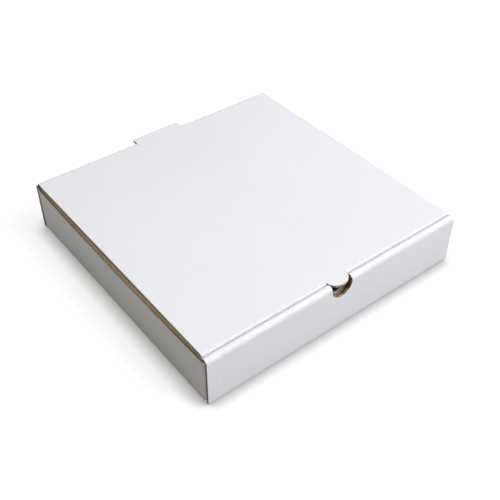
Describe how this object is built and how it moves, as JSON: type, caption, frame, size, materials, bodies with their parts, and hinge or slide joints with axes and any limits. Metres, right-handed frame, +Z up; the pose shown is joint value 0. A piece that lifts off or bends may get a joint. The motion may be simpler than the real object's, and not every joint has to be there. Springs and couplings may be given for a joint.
{
  "type": "pizza box",
  "caption": "Flat square corrugated pizza box with a hinged tuck-in lid, a rolled double front wall, a half-round thumb notch and tongue, and a tab level with the lid at the back.",
  "frame": {"origin": "middle of the underside of the floor, between the outer faces of the front and back walls", "axes": "+Z up through the lid, +X along the front wall to the right, +Y from the front wall to the back wall"},
  "size_m": [0.3152, 0.3191, 0.058],
  "materials": {
    "tray_board": "matt white outer liner, kraft brown inside and at raw edges",
    "lid_board": "matt white outer liner, kraft brown inside and at raw edges"
  },
  "bodies": {
    "tray": {"tray": "tray_board"},
    "lid": {"lid": "lid_board"}
  },
  "joints": [
    {"name": "lid_hinge", "type": "hinge", "parent": "tray", "child": "lid", "pos_m": [0, 0.155, 0.058], "axis": [-1, 0, 0], "range_deg": [0, 180]}
  ]
}
